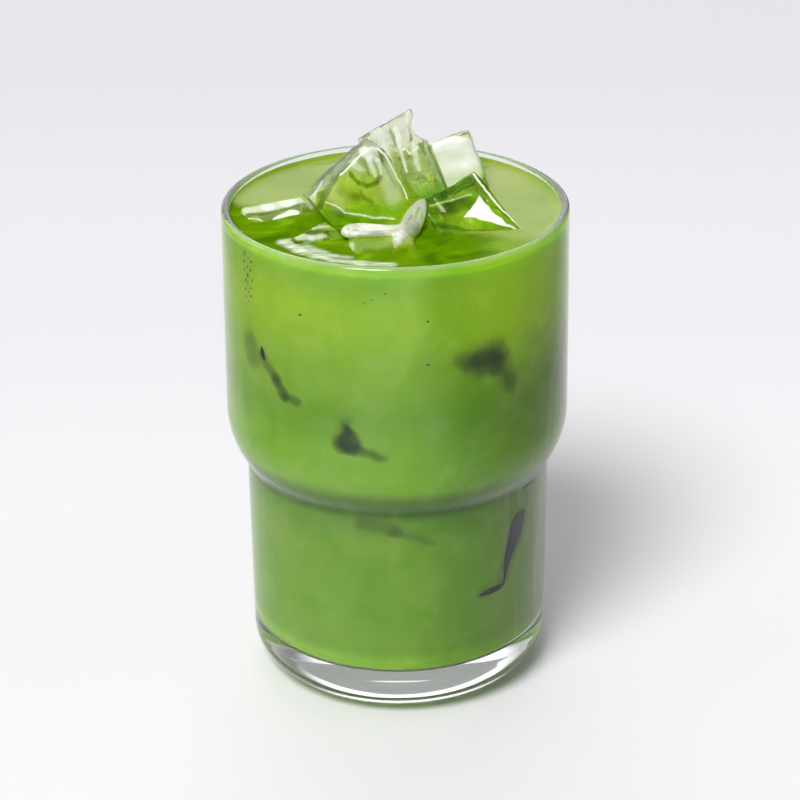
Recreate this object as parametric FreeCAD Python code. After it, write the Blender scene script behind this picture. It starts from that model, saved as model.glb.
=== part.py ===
import FreeCAD, Part
import math
import os

# Iced matcha in a stackable glass. Millimetres, +Z up, the origin is at the
# middle of the glass's foot, on its axis.

os.makedirs("parts", exist_ok=True)

# ---- driving dimensions -------------------------------------------------
HEIGHT = 119.7           # foot to rim
RIM_R = 41.0             # outer radius at the rim
RIM_WALL = 2.0           # wall thickness at the rim
BODY_R = 41.25           # outer radius where the shoulder starts
SHOULDER_Z = 69.0        # height where the shoulder starts to curve in
SHOULDER_ARC = 20.8      # radius of the shoulder's curve
STEP_R = 36.67           # outer radius of the lower body under the step
FOOT_R = 36.16           # outer radius of the lower body above the heel
HEEL = 10.5              # radius of the heel
STEP_FILLET = 2.4        # hollow fillet under the shoulder
PUNT_R = 24.0            # radius of the hollow under the foot
PUNT_RISE = 1.6          # height of that hollow

BODY_WALL = 2.4          # wall thickness at the shoulder
LOWER_IN_R = 34.0        # inner radius under the step
FLOOR_IN_R = 33.5        # inner radius at the floor
FLOOR_Z = 11.2           # top of the thick base
FLOOR_CORNER = 5.0       # inner radius between wall and floor
INNER_FILLET = 3.0       # inner radius above the step

LEVEL = 117.7            # surface of the drink
ICE_GAP = 0.15           # gap kept between neighbouring ice pieces
WALL_GAP = 0.35          # gap kept between ice and glass

# Each ice piece: middle, yaw / pitch / roll in degrees, three edge lengths,
# edge rounding, and chips. A chip is a direction in the piece's own axes and
# the distance from the middle at which it is cut off flat.
ICE = {
    "ice_centre": dict(at=(-5.4, -1.5, 118.8), turn=(-156.9, 35.2, 107.4),
                       size=(21.0, 26.0, 14.0), edge=0.9,
                       chips=(((-0.964, -0.047, -0.261), 11.5),
                              ((0.546, 0.742, -0.388), 15.5),
                              ((-0.625, 0.774, -0.103), 15.4))),
    "ice_peak": dict(at=(4.1, 13.4, 122.2), turn=(-166.4, 27.3, 114.4),
                     size=(15.0, 27.0, 12.0), edge=0.7,
                     chips=(((-0.978, -0.149, -0.146), 5.9),)),
    "ice_back": dict(at=(12.4, 19.2, 116.1), turn=(-174.6, 18.7, 116.8),
                     size=(20.0, 22.0, 15.0), edge=1.0,
                     chips=(((-0.761, 0.492, -0.423), 15.4),)),
    "ice_right": dict(at=(18.9, -8.7, 113.1), turn=(-151.2, 19.6, 145.3),
                      size=(16.5, 26.0, 15.0), edge=0.7,
                      chips=()),
    "ice_front": dict(at=(-3.0, -22.0, 113.2), turn=(10.0, -2.0, 8.0),
                      size=(16.0, 11.0, 13.0), edge=2.2,
                      chips=()),
    "ice_front_left": dict(at=(-17.5, -16.5, 112.5), turn=(28.0, -18.0, -30.0),
                           size=(11.0, 12.0, 15.0), edge=1.0,
                           chips=(((0.5, -0.6, 0.6), 8.2),)),
    "ice_left": dict(at=(-27.1, -2.9, 111.4), turn=(24.5, 0.0, 11.0),
                     size=(16.0, 14.0, 14.0), edge=0.9,
                     chips=()),
}


def line(a, b):
    return Part.LineSegment(a, b).toShape()


def arc(a, m, b):
    return Part.Arc(a, m, b).toShape()


def P(r, z):
    return FreeCAD.Vector(r, 0.0, z)


def turned(edges):
    face = Part.Face(Part.Wire(edges))
    return face.revolve(FreeCAD.Vector(0, 0, 0), FreeCAD.Vector(0, 0, 1), 360.0)


def ring_edges(shape, r, z, tol=0.05):
    """Circular edges of a turned solid at radius r and height z."""
    found = []
    for e in shape.Edges:
        box = e.BoundBox
        if (abs(box.ZMin - z) < tol and abs(box.ZMax - z) < tol
                and abs(box.XMax - r) < tol):
            found.append(e)
    return found


def shoulder_point(radius, r):
    """Height on a shoulder curve of the given radius where it reaches r."""
    centre_r = BODY_R - SHOULDER_ARC
    a = math.acos((r - centre_r) / radius)
    return a, SHOULDER_Z - radius * math.sin(a)


def shoulder_arc(radius, a_end):
    c = BODY_R - SHOULDER_ARC

    def at(a):
        return P(c + radius * math.cos(a), SHOULDER_Z - radius * math.sin(a))

    return at(0.0), at(a_end / 2.0), at(a_end)


def outer_body():
    a, step_z = shoulder_point(SHOULDER_ARC, STEP_R)
    s0, s1, s2 = shoulder_arc(SHOULDER_ARC, a)
    h = HEEL * (1.0 - math.sqrt(0.5))
    edges = [
        line(P(0, HEIGHT), P(RIM_R, HEIGHT)),
        line(P(RIM_R, HEIGHT), s0),
        arc(s0, s1, s2),
        line(s2, P(FOOT_R, HEEL)),
        arc(P(FOOT_R, HEEL), P(FOOT_R - h, h), P(FOOT_R - HEEL, 0)),
        line(P(FOOT_R - HEEL, 0), P(PUNT_R, 0)),
    ]
    # shallow spherical hollow under the foot
    ball = (PUNT_R ** 2 + PUNT_RISE ** 2) / (2.0 * PUNT_RISE)
    mid = PUNT_R / 2.0
    mid_z = PUNT_RISE - (ball - math.sqrt(ball ** 2 - mid ** 2))
    edges.append(arc(P(PUNT_R, 0), P(mid, mid_z), P(0, PUNT_RISE)))
    edges.append(line(P(0, PUNT_RISE), P(0, HEIGHT)))
    body = turned(edges)
    return body.makeFillet(STEP_FILLET, ring_edges(body, STEP_R, step_z))


def cavity():
    radius = SHOULDER_ARC - BODY_WALL
    a, step_z = shoulder_point(radius, LOWER_IN_R)
    s0, s1, s2 = shoulder_arc(radius, a)
    rim_in = RIM_R - RIM_WALL
    edges = [
        line(P(0, HEIGHT), P(rim_in, HEIGHT)),
        line(P(rim_in, HEIGHT), s0),
        arc(s0, s1, s2),
        line(s2, P(FLOOR_IN_R, FLOOR_Z)),
        line(P(FLOOR_IN_R, FLOOR_Z), P(0, FLOOR_Z)),
        line(P(0, FLOOR_Z), P(0, HEIGHT)),
    ]
    body = turned(edges)
    body = body.makeFillet(INNER_FILLET, ring_edges(body, LOWER_IN_R, step_z))
    return body.makeFillet(FLOOR_CORNER, ring_edges(body, FLOOR_IN_R, FLOOR_Z))


def ice_block(spec, grow=0.0):
    a, b, c = [s + 2.0 * grow for s in spec["size"]]
    block = Part.makeBox(a, b, c, FreeCAD.Vector(-a / 2, -b / 2, -c / 2))
    for direction, distance in spec["chips"]:
        n = FreeCAD.Vector(*direction)
        n.normalize()
        big = 60.0
        slab = Part.makeBox(big, big, big, FreeCAD.Vector(-big / 2, -big / 2, 0))
        slab.Placement = FreeCAD.Placement(
            n * (distance + grow), FreeCAD.Rotation(FreeCAD.Vector(0, 0, 1), n))
        block = block.cut(slab)
    block = block.makeFillet(spec["edge"], block.Edges)
    block.Placement = FreeCAD.Placement(
        FreeCAD.Vector(*spec["at"]), FreeCAD.Rotation(*spec["turn"]))
    return block


hollow = cavity()
glass = outer_body().cut(hollow)
rim_round = RIM_WALL * 0.47
rims = ring_edges(glass, RIM_R, HEIGHT) + ring_edges(glass, RIM_R - RIM_WALL, HEIGHT)
glass = glass.makeFillet(rim_round, rims)

inside = Part.makeCylinder(RIM_R - RIM_WALL - WALL_GAP, 60.0,
                           FreeCAD.Vector(0, 0, SHOULDER_Z + 20.0))
pieces = {}
before = []
for name, spec in ICE.items():
    piece = ice_block(spec).common(inside)
    for other in before:
        piece = piece.cut(other)
    pieces[name] = piece
    before.append(ice_block(spec, ICE_GAP))

below = Part.makeCylinder(60.0, LEVEL, FreeCAD.Vector(0, 0, 0))
drink = hollow.common(below)
for piece in pieces.values():
    drink = drink.cut(piece)

nodes = {"glass": glass, "drink": drink}
nodes.update(pieces)
for name, shape in nodes.items():
    solids = shape.Solids
    solid = max(solids, key=lambda s: s.Volume)
    print(name, "solids", len(solids), "valid", solid.isValid(),
          "volume_cm3", round(solid.Volume / 1000.0, 2),
          "z", round(solid.BoundBox.ZMin, 2), round(solid.BoundBox.ZMax, 2),
          "r", round(max(abs(solid.BoundBox.XMin), solid.BoundBox.XMax,
                         abs(solid.BoundBox.YMin), solid.BoundBox.YMax), 2))
    solid.exportStep("parts/" + name + ".step")
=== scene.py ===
import math
import random

import bmesh
import bpy
from mathutils import Euler, Matrix, Vector, noise
from mathutils.bvhtree import BVHTree


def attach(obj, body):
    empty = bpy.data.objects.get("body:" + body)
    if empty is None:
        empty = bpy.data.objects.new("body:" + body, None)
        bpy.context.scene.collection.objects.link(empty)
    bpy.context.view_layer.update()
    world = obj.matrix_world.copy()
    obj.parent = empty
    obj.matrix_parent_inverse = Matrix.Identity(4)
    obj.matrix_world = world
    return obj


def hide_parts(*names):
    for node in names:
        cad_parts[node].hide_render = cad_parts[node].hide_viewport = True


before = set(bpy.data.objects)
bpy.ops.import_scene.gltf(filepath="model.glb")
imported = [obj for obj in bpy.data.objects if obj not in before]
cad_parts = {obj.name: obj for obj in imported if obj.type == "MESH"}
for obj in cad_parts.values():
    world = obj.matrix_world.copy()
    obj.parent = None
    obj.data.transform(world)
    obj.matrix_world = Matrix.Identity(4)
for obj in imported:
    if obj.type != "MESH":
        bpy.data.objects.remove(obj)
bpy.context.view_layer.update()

MM = 0.001
scene = bpy.context.scene
scene.view_settings.view_transform = "Standard"
scene.view_settings.look = "None"

# ------------------------------------------------------------- dimensions
HEIGHT = 119.7
RIM_R, RIM_WALL = 41.0, 2.0
BODY_R, SHOULDER_Z, SHOULDER_ARC = 41.25, 69.0, 20.8
BODY_WALL, LOWER_IN_R, FLOOR_IN_R = 2.4, 34.0, 33.5
FLOOR_Z, FLOOR_CORNER, INNER_FILLET = 11.2, 5.0, 3.0
LEVEL = 117.7
INTO_WALL = 0.15          # how far the drink reaches into the glass
INTO_ICE = 0.12           # how far it reaches into the ice

ICE_NODES = ["ice_centre", "ice_peak", "ice_back", "ice_right", "ice_front", "ice_front_left", "ice_left"]


# ------------------------------------------------------------- small helpers
def link(obj):
    scene.collection.objects.link(obj)
    return obj


def mesh_object(name, bm, smooth=True):
    me = bpy.data.meshes.new(name)
    bm.to_mesh(me)
    bm.free()
    if smooth:
        me.shade_smooth()
    return link(bpy.data.objects.new(name, me))


def apply_modifiers(obj):
    deps = bpy.context.evaluated_depsgraph_get()
    me = bpy.data.meshes.new_from_object(obj.evaluated_get(deps))
    old = obj.data
    obj.modifiers.clear()
    obj.data = me
    if old.users == 0:
        bpy.data.meshes.remove(old)
    return obj


def nodes_of(mat):
    mat.use_nodes = True
    nt = mat.node_tree
    nt.nodes.clear()
    out = nt.nodes.new("ShaderNodeOutputMaterial")
    return nt, out


class Tree:
    """Short calls for building a node tree."""

    def __init__(self, nt):
        self.nt = nt

    def new(self, kind, **props):
        n = self.nt.nodes.new(kind)
        for k, v in props.items():
            setattr(n, k, v)
        return n

    def link(self, a, b):
        self.nt.links.new(a, b)

    def set(self, node, **vals):
        for k, v in vals.items():
            node.inputs[k.replace("_", " ")].default_value = v
        return node

    def math(self, op, a, b=None, c=None, clamp=False):
        n = self.new("ShaderNodeMath", operation=op, use_clamp=clamp)
        for i, v in enumerate((a, b, c)):
            if v is None:
                continue
            if isinstance(v, (int, float)):
                n.inputs[i].default_value = v
            else:
                self.link(v, n.inputs[i])
        return n.outputs[0]

    def vmath(self, op, a, b=None):
        n = self.new("ShaderNodeVectorMath", operation=op)
        for i, v in enumerate((a, b)):
            if v is None:
                continue
            if isinstance(v, (tuple, list, Vector)):
                n.inputs[i].default_value = v
            else:
                self.link(v, n.inputs[i])
        return n.outputs["Value"] if op in ("DOT_PRODUCT", "LENGTH", "DISTANCE") else n.outputs[0]

    def ramp(self, fac, stops, interp="EASE"):
        n = self.new("ShaderNodeValToRGB")
        n.color_ramp.interpolation = interp
        els = n.color_ramp.elements
        while len(els) < len(stops):
            els.new(0.5)
        for e, (p, c) in zip(els, stops):
            e.position = p
            e.color = tuple(c) + (1.0,) if len(c) == 3 else c
        self.link(fac, n.inputs[0])
        return n.outputs[0]

    def mix(self, fac, a, b, blend="MIX"):
        n = self.new("ShaderNodeMix", data_type="RGBA", blend_type=blend)
        for sock, v in ((n.inputs[0], fac), (n.inputs[6], a), (n.inputs[7], b)):
            if isinstance(v, (int, float)):
                sock.default_value = v
            elif isinstance(v, (tuple, list)):
                sock.default_value = tuple(v) + (1.0,) if len(v) == 3 else v
            else:
                self.link(v, sock)
        return n.outputs[2]

    def noise(self, vec, scale, detail=2.0, rough=0.5, distort=0.0):
        n = self.new("ShaderNodeTexNoise")
        n.inputs["Scale"].default_value = scale
        n.inputs["Detail"].default_value = detail
        n.inputs["Roughness"].default_value = rough
        n.inputs["Distortion"].default_value = distort
        self.link(vec, n.inputs["Vector"])
        return n.outputs["Fac"]

    def scale(self, vec, k):
        n = self.new("ShaderNodeVectorMath", operation="SCALE")
        if isinstance(vec, (tuple, list, Vector)):
            n.inputs[0].default_value = vec
        else:
            self.link(vec, n.inputs[0])
        if isinstance(k, (int, float)):
            n.inputs["Scale"].default_value = k
        else:
            self.link(k, n.inputs["Scale"])
        return n.outputs[0]

    def smooth(self, value, lo, hi, out_lo=0.0, out_hi=1.0):
        n = self.new("ShaderNodeMapRange", interpolation_type="SMOOTHSTEP")
        self.link(value, n.inputs[0])
        for i, v in enumerate((lo, hi, out_lo, out_hi)):
            n.inputs[1 + i].default_value = v
        return n.outputs[0]

    def rod(self, p, a, b, ra, rb, soft, strength):
        """1 x strength inside a tapered rod from a to b (mm), fading out over soft mm."""
        a, b = Vector(a), Vector(b)
        ba = b - a
        pa = self.vmath("SUBTRACT", p, tuple(a))
        h = self.math("ADD", self.vmath("DOT_PRODUCT", pa, tuple(ba / ba.length_squared)), 0.0, clamp=True)
        d = self.vmath("LENGTH", self.vmath("SUBTRACT", pa, self.scale(tuple(ba), h)))
        d = self.math("SUBTRACT", d, self.math("MULTIPLY_ADD", h, rb - ra, ra))
        return self.smooth(d, soft, 0.0, 0.0, strength)

    def all_of(self, masks):
        """Masks laid over one another."""
        left = None
        for m in masks:
            inv = self.math("SUBTRACT", 1.0, m)
            left = inv if left is None else self.math("MULTIPLY", left, inv)
        return self.math("SUBTRACT", 1.0, left)

    def bump(self, height, strength, distance, normal=None):
        n = self.new("ShaderNodeBump")
        n.inputs["Strength"].default_value = strength
        n.inputs["Distance"].default_value = distance
        self.link(height, n.inputs["Height"])
        if normal is not None:
            self.link(normal, n.inputs["Normal"])
        return n.outputs[0]


def sm(nt):
    return Tree(nt)


# ------------------------------------------------------------- materials
def glass_material():
    m = bpy.data.materials.new("clear_glass_look")
    nt, out = nodes_of(m)
    t = sm(nt)
    b = t.new("ShaderNodeBsdfPrincipled")
    t.link(b.outputs[0], out.inputs[0])
    b.inputs["Roughness"].default_value = 0.0
    b.inputs["IOR"].default_value = 1.5
    co = t.new("ShaderNodeTexCoord").outputs["Object"]
    # painted highlight: the fire-polished rim is made a little milky and greenish, standing in for the light it catches
    rim = t.smooth(split(t, co)[2], 0.1184, 0.1197, 0.0, 0.15)
    t.link(t.math("SUBTRACT", 1.0, rim), b.inputs["Transmission Weight"])
    t.link(t.mix(t.math("MULTIPLY", rim, 5.0), (0.975, 0.985, 0.988), (0.86, 0.95, 0.93)), b.inputs["Base Color"])
    # pressed glass is never quite even: a very faint waviness
    wide = t.noise(co, 90.0, 1.0)
    t.link(t.bump(wide, 0.10, 0.0004), b.inputs["Normal"])
    return m


def co_mm(t):
    return t.scale(t.new("ShaderNodeTexCoord").outputs["Object"], 1000.0)


def split(t, vec):
    n = t.new("ShaderNodeSeparateXYZ")
    t.link(vec, n.inputs[0])
    return n.outputs


def gain(colour, k=1.0):
    return tuple(min(c * k, 0.95) for c in colour)


# dark, soft-edged shadows of ice that lies under the drink's surface, against the wall
SUNKEN_SHADOWS = [
    # start, end, radius at start, radius at end, softness, strength
    ((-32.8, -21.0, 93.6), (-32.1, -21.9, 90.3), 1.0, 0.8, 3.6, 0.42),
    ((-30.1, -24.7, 92.0), (-27.1, -27.9, 87.2), 0.4, 0.6, 2.0, 0.50),
    ((-27.1, -27.9, 87.2), (-25.2, -29.6, 83.6), 0.6, 0.5, 1.7, 0.60),
    ((-25.2, -29.6, 83.6), (-22.4, -31.8, 83.6), 0.5, 0.4, 1.4, 0.50),
    ((-11.4, -37.1, 80.5), (-12.6, -36.8, 75.9), 0.2, 0.5, 2.6, 0.45),
    ((-11.6, -37.0, 79.4), (-10.6, -37.3, 75.6), 0.2, 2.0, 1.7, 0.80),
    ((-13.2, -36.5, 74.8), (-3.4, -38.6, 72.2), 0.7, 0.1, 1.8, 0.60),
    ((17.6, -34.6, 94.4), (21.2, -32.6, 94.8), 0.5, 0.9, 5.4, 0.74),
    ((19.8, -33.4, 93.0), (21.8, -32.2, 92.4), 0.9, 0.8, 3.4, 0.45),
    ((22.4, -32.0, 94.8), (25.4, -29.6, 86.4), 0.5, 0.1, 3.6, 0.55),
    ((13.8, -36.4, 95.4), (17.0, -35.0, 94.8), 0.1, 0.5, 3.4, 0.40),
    ((27.8, -19.4, 45.5), (24.6, -23.1, 35.0), 1.4, 0.4, 3.2, 0.50),
    ((24.4, -23.3, 32.0), (18.6, -28.1, 30.5), 0.3, 0.2, 1.8, 0.35),
    ((-8.7, -32.8, 52.5), (-0.8, -33.9, 50.7), 0.5, 0.6, 2.2, 0.34),
    ((-0.8, -33.9, 50.7), (7.6, -33.0, 47.3), 0.4, 0.1, 1.8, 0.32),
    ((30.4, -15.1, 54.5), (29.0, -17.8, 54.4), 0.4, 0.3, 1.6, 0.5),
]


def drink_colour(t, p, k=1.0):
    """Cloudy green that is never quite even, with painted shade darker towards +x, in the frame's own coordinates (mm).
    """
    x, y, z = split(t, p)
    broad = t.noise(p, 0.022, 2.0, 0.5, 0.4)
    mid = t.noise(p, 0.085, 4.0, 0.60, 0.6)
    fine = t.noise(p, 0.9, 2.0, 0.6)
    # painted light and shade: paler green on the left, darker green to the right, broken up by broad noise
    xs = t.math("ADD", t.math("MULTIPLY_ADD", x, 0.0125, 0.5), t.math("MULTIPLY_ADD", broad, 0.36, -0.18))
    base = t.ramp(xs, [(0.02, gain((0.390, 0.700, 0.012), k)), (0.28, gain((0.388, 0.708, 0.072), k)),
                       (0.50, gain((0.370, 0.705, 0.034), k)), (0.68, gain((0.238, 0.560, 0.003), k)),
                       (0.84, gain((0.285, 0.580, 0.003), k)), (0.98, gain((0.225, 0.440, 0.006), k))], "LINEAR")
    # paler clouds where fine tea hangs thicker, clearer green between them
    base = t.mix(t.smooth(mid, 0.46, 0.66, 0.0, 0.42), base, gain((0.500, 0.790, 0.110), k))
    base = t.mix(t.smooth(mid, 0.48, 0.30, 0.0, 0.46), base, gain((0.270, 0.600, 0.004), k))
    base = t.mix(t.math("MULTIPLY", fine, 0.10), base, gain((0.30, 0.55, 0.005), k))
    return base


def turbid(b):
    """Light goes a few millimetres into the cloudy drink."""
    b.inputs["Subsurface Weight"].default_value = 1.0
    b.inputs["Subsurface Radius"].default_value = (1.0, 1.25, 0.25)
    b.inputs["Subsurface Scale"].default_value = 0.0028


def against_glass(t, shader, out):
    """Glass meeting liquid mirrors rays that graze it (beyond about 63 degrees), as in the thick base."""
    lw = t.new("ShaderNodeLayerWeight")
    lw.inputs["Blend"].default_value = 0.5
    fac = t.smooth(lw.outputs["Facing"], 0.515, 0.56)
    gl = t.new("ShaderNodeBsdfAnisotropic")
    gl.inputs["Color"].default_value = (0.97, 0.98, 0.97, 1)
    gl.inputs["Roughness"].default_value = 0.03
    mx = t.new("ShaderNodeMixShader")
    t.link(fac, mx.inputs[0])
    t.link(shader, mx.inputs[1])
    t.link(gl.outputs[0], mx.inputs[2])
    t.link(mx.outputs[0], out.inputs[0])


def drink_body_material():
    m = bpy.data.materials.new("matcha_body_look")
    nt, out = nodes_of(m)
    t = sm(nt)
    b = t.new("ShaderNodeBsdfPrincipled")
    p = co_mm(t)
    x, y, z = split(t, p)
    col = drink_colour(t, p, BODY_GAIN)
    # painted light and shade down the glass: light at the shoulder and higher up, a painted dark line under the step, a
    # light line at the floor
    zz = t.math("MULTIPLY", z, 1.0 / 120.0)
    tone = t.ramp(zz, [(0.095, (1.18, 1.20, 1.4)), (0.120, (1.16, 1.18, 1.4)), (0.150, (0.82, 0.86, 0.85)), (0.38, (0.80, 0.84, 0.75)),
                       (0.435, (0.68, 0.76, 0.8)), (0.465, (0.30, 0.40, 0.2)), (0.495, (0.40, 0.48, 0.3)),
                       (0.530, (1.00, 1.04, 1.1)), (0.590, (0.98, 1.02, 1.2)), (0.67, (0.86, 0.90, 1.2)),
                       (0.76, (1.10, 1.04, 1.2)), (0.90, (1.46, 1.25, 1.0)), (0.975, (1.12, 1.06, 1.2))], "EASE")
    col = t.mix(1.0, col, tone, "MULTIPLY")
    # painted shade: the right side darker below about 100 mm
    painted_side_shade = t.math("MULTIPLY", t.smooth(x, 4.0, 34.0), t.smooth(z, 100.0, 76.0, 0.0, 0.52))
    wav = t.noise(p, 0.05, 2.0, 0.5)
    painted_side_shade = t.math("MULTIPLY", painted_side_shade, t.math("MULTIPLY_ADD", wav, 1.0, 0.5))
    col = t.mix(painted_side_shade, col, (0.130, 0.240, 0.020))
    # clearer, yellower green high on that side
    lift = t.math("MULTIPLY", t.smooth(x, 6.0, 22.0), t.smooth(z, 88.0, 104.0, 0.0, 0.60))
    col = t.mix(lift, col, (0.600, 0.940, 0.002))
    # painted reflection: faint upright pale streaks and haze, most of them on the right side, standing in for light
    # reflected on the glass
    sc = t.new("ShaderNodeVectorMath", operation="MULTIPLY")
    t.link(p, sc.inputs[0])
    sc.inputs[1].default_value = (1.0, 1.0, 0.16)
    streak = t.noise(sc.outputs[0], 0.20, 2.0, 0.5)
    haze = t.math("MULTIPLY", t.smooth(streak, 0.52, 0.74), t.smooth(x, 14.0, 36.0))
    haze = t.math("MULTIPLY", haze, t.smooth(z, 116.0, 92.0, 0.03, 0.34))
    col = t.mix(haze, col, (0.42, 0.50, 0.27))
    painted_glass_reflection = t.math("MULTIPLY", t.smooth(streak, 0.5, 0.72), 0.10)
    col = t.mix(painted_glass_reflection, col, (0.60, 0.76, 0.16))
    # painted shade: dark soft patches where ice lies under the surface against the wall
    wob = t.new("ShaderNodeTexNoise")
    wob.inputs["Scale"].default_value = 0.35
    wob.inputs["Detail"].default_value = 2.0
    t.link(p, wob.inputs["Vector"])
    off = t.scale(t.vmath("SUBTRACT", wob.outputs["Color"], (0.5, 0.5, 0.5)), 2.2)
    pw = t.vmath("ADD", p, off)
    dark = t.all_of([t.rod(pw, *row) for row in SUNKEN_SHADOWS])
    col = t.mix(dark, col, (0.020, 0.048, 0.022))
    t.link(col, b.inputs["Base Color"])
    turbid(b)
    b.inputs["Roughness"].default_value = 0.9
    b.inputs["IOR"].default_value = 1.33
    b.inputs["Specular IOR Level"].default_value = 0.0
    against_glass(t, b.outputs[0], out)
    return m


def chain(points, ra, rb, soft, strength):
    """Rods one after another along points, their radius running from ra to rb."""
    n = len(points) - 1
    return [(points[i], points[i + 1], ra + (rb - ra) * i / n, ra + (rb - ra) * (i + 1) / n, soft, strength)
            for i in range(n)]


def drink_surface_material():
    m = bpy.data.materials.new("matcha_surface_look")
    nt, out = nodes_of(m)
    t = sm(nt)
    b = t.new("ShaderNodeBsdfPrincipled")
    p = co_mm(t)
    x, y, z = split(t, p)
    cloud = t.noise(p, 0.06, 3.0, 0.55, 0.4)
    col = t.ramp(cloud, [(0.30, (0.205, 0.330, 0.006)), (0.52, (0.250, 0.370, 0.018)), (0.72, (0.300, 0.400, 0.045))])
    t.link(col, b.inputs["Base Color"])
    b.inputs["Roughness"].default_value = 0.03
    b.inputs["IOR"].default_value = 1.33
    h = t.noise(p, 0.11, 2.0)
    normal = t.bump(h, 0.10, 0.0006)
    t.link(normal, b.inputs["Normal"])
    # painted shade: in front, where the ice keeps the light off, a clear, deep green with no gloss
    wave = t.noise(p, 0.05, 2.0, 0.5)
    yy = t.math("ADD", t.math("MULTIPLY_ADD", x, 0.35, 0.0), t.math("ADD", y, t.math("MULTIPLY_ADD", wave, 6.0, -3.0)))
    near = t.smooth(yy, -5.0, -11.0)
    deep = t.noise(p, 0.09, 3.0, 0.55, 0.8)
    front = t.ramp(deep, [(0.30, (0.060, 0.160, 0.001)), (0.50, (0.115, 0.255, 0.001)), (0.70, (0.200, 0.380, 0.006))])
    front = t.mix(t.math("MULTIPLY", t.smooth(x, 16.0, 30.0), 0.6), front, (0.32, 0.47, 0.09))
    # light caught where the surface curls up behind the front of the rim
    sc = t.new("ShaderNodeVectorMath", operation="MULTIPLY")
    t.link(p, sc.inputs[0])
    sc.inputs[1].default_value = (0.30, 1.0, 1.0)
    broken = t.smooth(t.noise(sc.outputs[0], 0.55, 3.0, 0.6, 0.5), 0.30, 0.64, 0.15, 1.0)
    glare = t.all_of([t.rod(p, *row) for row in
                      chain([(-25.5, -19.5, 118.0), (-22.0, -24.4, 118.0), (-18.0, -28.2, 118.0), (-13.0, -31.0, 118.0),
                             (-7.6, -32.6, 118.0), (-1.0, -33.4, 118.0)], 0.6, 0.05, 2.0, 0.95)
                      + chain([(-20.4, -22.8, 118.0), (-16.4, -26.4, 118.0), (-11.0, -29.2, 118.0)], 0.3, 0.1, 2.0, 0.7)])
    front = t.mix(t.math("MULTIPLY", glare, broken), front, (0.88, 0.93, 0.74))
    # painted shade: a dark line follows it
    line = t.all_of([t.rod(p, *row) for row in
                     chain([(-8.0, -34.6, 118.2), (0.0, -35.6, 118.2), (8.0, -34.8, 118.2), (16.0, -31.6, 118.2)],
                           0.15, 0.25, 0.7, 0.6)])
    front = t.mix(line, front, (0.040, 0.110, 0.001))
    f = t.new("ShaderNodeBsdfPrincipled")
    t.link(front, f.inputs["Base Color"])
    t.link(normal, f.inputs["Normal"])
    f.inputs["Roughness"].default_value = 0.25
    f.inputs["IOR"].default_value = 1.33
    f.inputs["Specular IOR Level"].default_value = 0.0
    mx = t.new("ShaderNodeMixShader")
    t.link(near, mx.inputs[0])
    t.link(b.outputs[0], mx.inputs[1])
    t.link(f.outputs[0], mx.inputs[2])
    t.link(mx.outputs[0], out.inputs[0])
    return m


def drink_hollow_material():
    """Where the drink lies against the ice: clearer and more saturated, with painted light in it (pale patches up to
    near white).
    """
    m = bpy.data.materials.new("matcha_under_ice_look")
    nt, out = nodes_of(m)
    t = sm(nt)
    b = t.new("ShaderNodeBsdfPrincipled")
    t.link(b.outputs[0], out.inputs[0])
    p = co_mm(t)
    mid = t.noise(p, 0.16, 2.0, 0.5, 0.6)
    fine = t.noise(p, 0.7, 2.0, 0.5)
    col = t.ramp(mid, [(0.24, (0.170, 0.330, 0.001)), (0.40, (0.420, 0.680, 0.003)), (0.55, (0.620, 0.860, 0.006)),
                       (0.68, (0.720, 0.900, 0.060)), (0.82, (0.860, 0.930, 0.450))], "EASE")
    col = t.mix(t.math("MULTIPLY", fine, 0.12), col, (0.30, 0.50, 0.002))
    t.link(col, b.inputs["Base Color"])
    turbid(b)
    b.inputs["Roughness"].default_value = 0.6
    b.inputs["Specular IOR Level"].default_value = 0.0
    return m


def flatten(vec, normal, k=0.22):
    """The vector with its part along a facet's normal made small, so that a stroke lies on the facet."""
    n = Vector(normal).normalized()
    v = Vector(vec)
    return v - n * v.dot(n) * (1.0 - k)


def strokes(t, p, groups):
    """Masks of strokes lying on facets: rows are (facet normal, [rods])."""
    masks = []
    for normal, rods in groups:
        n = Vector(normal).normalized()
        along = t.vmath("DOT_PRODUCT", p, tuple(n))
        pf = t.vmath("SUBTRACT", p, t.scale(tuple(n), t.math("MULTIPLY", along, 0.78)))
        for a, b, ra, rb, soft, strength in rods:
            masks.append(t.rod(pf, flatten(a, n), flatten(b, n), ra, rb, soft, strength))
    return t.all_of(masks)


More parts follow.
